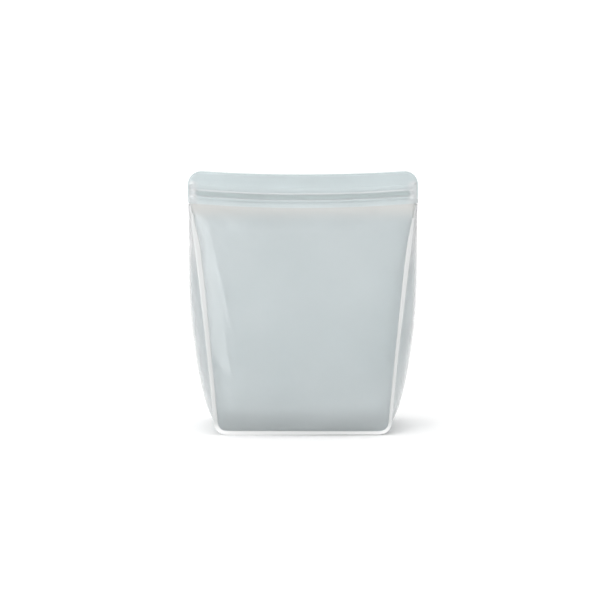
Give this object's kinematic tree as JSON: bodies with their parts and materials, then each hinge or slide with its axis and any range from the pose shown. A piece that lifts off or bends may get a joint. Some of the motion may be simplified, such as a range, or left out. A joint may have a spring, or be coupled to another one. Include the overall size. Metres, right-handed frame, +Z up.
{
  "type": "reusable silicone bag",
  "caption": "Stand-up bag of soft frosted silicone film with raised U-shaped seams, bowed side gussets, a flat base and a press-to-close zip band along its top.",
  "frame": {"origin": "middle of the base, on the surface that the bag stands on", "axes": "+X to the right along the zip band, +Y to the back, +Z up"},
  "size_m": [0.13, 0.0582, 0.147],
  "materials": {
    "film": "thin frosted silicone film, translucent, with a soft gloss",
    "seam": "doubled silicone film welded into a pale, milky edge",
    "zip_tape": "thicker milky silicone with a faint blue-green tint, semi-gloss",
    "lip": "thin frosted silicone film, translucent, with a soft gloss"
  },
  "bodies": {
    "shell": {"base_panel": "film", "front_seam": "seam", "back_seam": "seam", "left_end_weld": "seam", "right_end_weld": "seam"},
    "front_wall": {"front_panel": "film", "front_track": "zip_tape", "front_lip": "lip"},
    "back_wall": {"back_panel": "film", "back_track": "zip_tape", "back_lip": "lip"},
    "left_side": {"left_gusset": "film"},
    "right_side": {"right_gusset": "film"}
  },
  "joints": [
    {"name": "mouth_front_open", "type": "hinge", "parent": "shell", "child": "front_wall", "pos_m": [0, -0.02877, 0.0029], "axis": [1, 0, 0], "range_deg": [0, 9]},
    {"name": "mouth_back_open", "type": "hinge", "parent": "shell", "child": "back_wall", "pos_m": [0, 0.02877, 0.0029], "axis": [1, 0, 0], "range_deg": [-9, 0]},
    {"name": "left_gusset_press", "type": "slide", "parent": "shell", "child": "left_side", "axis": [1, 0, 0], "range_m": [0, 0.008], "stiffness_N_per_m": 20},
    {"name": "right_gusset_press", "type": "slide", "parent": "shell", "child": "right_side", "axis": [-1, 0, 0], "range_m": [0, 0.008], "stiffness_N_per_m": 20}
  ],
  "couplings": [
    {"joint": "mouth_back_open", "follows": "mouth_front_open", "ratio": -1}
  ]
}
